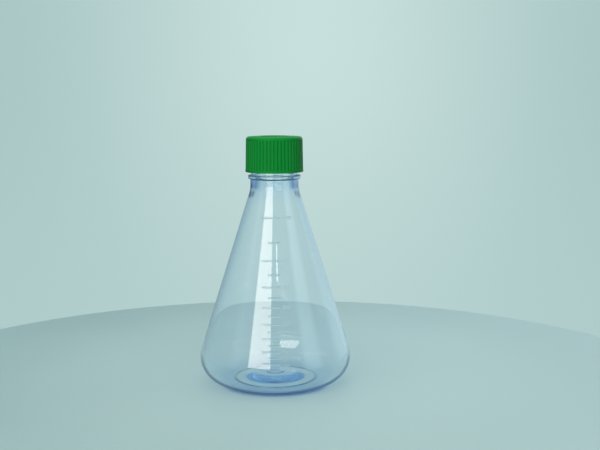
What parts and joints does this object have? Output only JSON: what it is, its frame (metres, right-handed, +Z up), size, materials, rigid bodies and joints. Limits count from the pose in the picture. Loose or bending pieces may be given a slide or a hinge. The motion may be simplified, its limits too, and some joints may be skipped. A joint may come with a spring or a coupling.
{
  "type": "conical shake flask",
  "caption": "Clear conical plastic flask with moulded volume marks and a ribbed green screw cap that unscrews and lifts off, holding a filter vent and a sealing ring.",
  "frame": {"origin": "centre of the foot ring, on the surface that the flask stands on", "axes": "+Z up along the axis of the flask and the cap, -Y towards the front with the volume marks"},
  "size_m": [0.13, 0.13, 0.2113],
  "materials": {
    "clear_plastic": "clear, faintly blue, polished",
    "green_plastic": "satin moulded",
    "filter_film": "matt porous film",
    "seal_rubber": "matt translucent"
  },
  "bodies": {
    "flask": {"flask_body": "clear_plastic"},
    "seal": {"sealing_gasket": "seal_rubber"},
    "cap": {"cap_shell": "green_plastic", "vent_membrane": "filter_film"}
  },
  "joints": [
    {"name": "cap_lift", "type": "slide", "parent": "flask", "child": "seal", "axis": [0, 0, 1], "range_m": [0, 0.03]},
    {"name": "cap_turn", "type": "hinge", "parent": "seal", "child": "cap", "pos_m": [0, 0, 0.196], "axis": [0, 0, 1], "range_deg": [0, 1800]}
  ],
  "couplings": [
    {"joint": "cap_lift", "follows": "cap_turn", "m_per_rad": 0.00095493}
  ]
}
